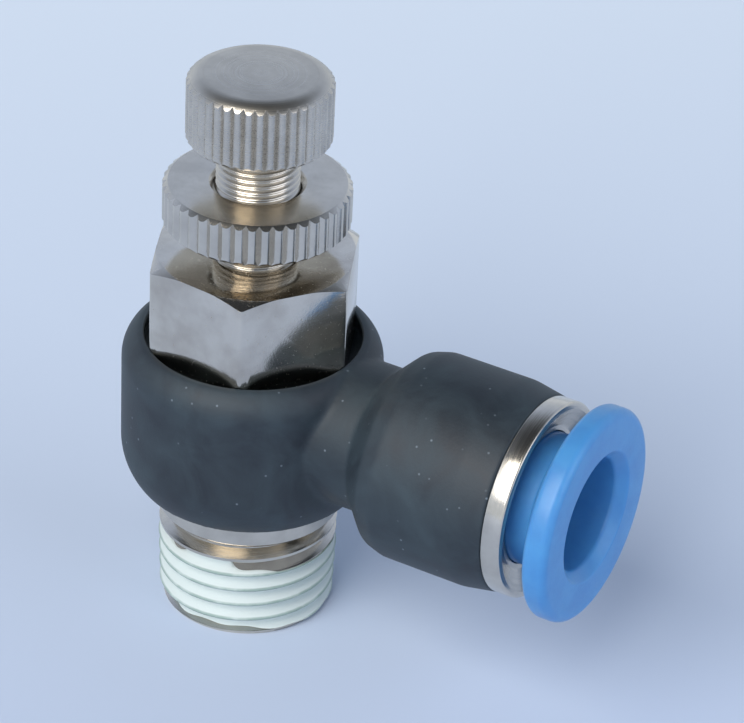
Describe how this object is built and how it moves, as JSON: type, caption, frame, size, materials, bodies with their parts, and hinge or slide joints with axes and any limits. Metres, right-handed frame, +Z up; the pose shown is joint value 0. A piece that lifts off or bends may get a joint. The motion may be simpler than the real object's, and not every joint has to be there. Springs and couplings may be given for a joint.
{
  "type": "flow control valve",
  "caption": "Elbow air flow control valve: taper-threaded metal stem, swivelling moulded elbow with push-in tube socket, and a knurled needle screw with lock nut.",
  "frame": {"origin": "centre of the threaded stem's end face, at the mouth of its port", "axes": "+Z up along the needle and the thread's axis, towards the knob; +X along the tube socket, towards its mouth"},
  "size_m": [0.0378, 0.019, 0.0434],
  "materials": {
    "nickel_plated_brass": "nickel plated, satin to mirror",
    "brass": "turned",
    "moulded_black": "moulded, matt",
    "release_blue": "moulded, satin",
    "rubber": "moulded",
    "sealant": "dried coat",
    "spring_steel": "stamped",
    "natural_resin": "moulded"
  },
  "bodies": {
    "metal_body": {"threaded_stem": "nickel_plated_brass", "thread_sealant": "sealant", "hex_bonnet": "nickel_plated_brass", "seat_ring": "brass", "lower_o_ring": "rubber", "upper_o_ring": "rubber", "check_seal": "rubber"},
    "elbow": {"elbow_housing": "moulded_black", "tube_seal": "rubber", "claw_spacer": "natural_resin", "claw_ring": "spring_steel", "guide_ring": "nickel_plated_brass"},
    "release_sleeve": {"release_ring": "release_blue"},
    "needle_seal": {"needle_o_ring": "rubber"},
    "needle_screw": {"needle": "nickel_plated_brass", "adjusting_knob": "nickel_plated_brass"},
    "nut": {"lock_nut": "nickel_plated_brass"}
  },
  "joints": [
    {"name": "elbow_swivel", "type": "hinge", "parent": "metal_body", "child": "elbow", "pos_m": [0, 0, 0.01707], "axis": [0, 0, 1], "continuous": true},
    {"name": "release_push", "type": "slide", "parent": "elbow", "child": "release_sleeve", "axis": [-1, 0, 0], "range_m": [0, 0.0014], "stiffness_N_per_m": 400},
    {"name": "needle_lift", "type": "slide", "parent": "metal_body", "child": "needle_seal", "axis": [0, 0, 1], "range_m": [-0.00325, 0]},
    {"name": "knob_turn", "type": "hinge", "parent": "needle_seal", "child": "needle_screw", "pos_m": [0, 0, 0.038], "axis": [0, 0, 1], "range_deg": [-2340, 0]},
    {"name": "nut_lift", "type": "slide", "parent": "metal_body", "child": "nut", "axis": [0, 0, 1], "range_m": [-0.0023, 0]}
  ],
  "couplings": [
    {"joint": "knob_turn", "follows": "needle_lift", "rad_per_m": 12566}
  ]
}
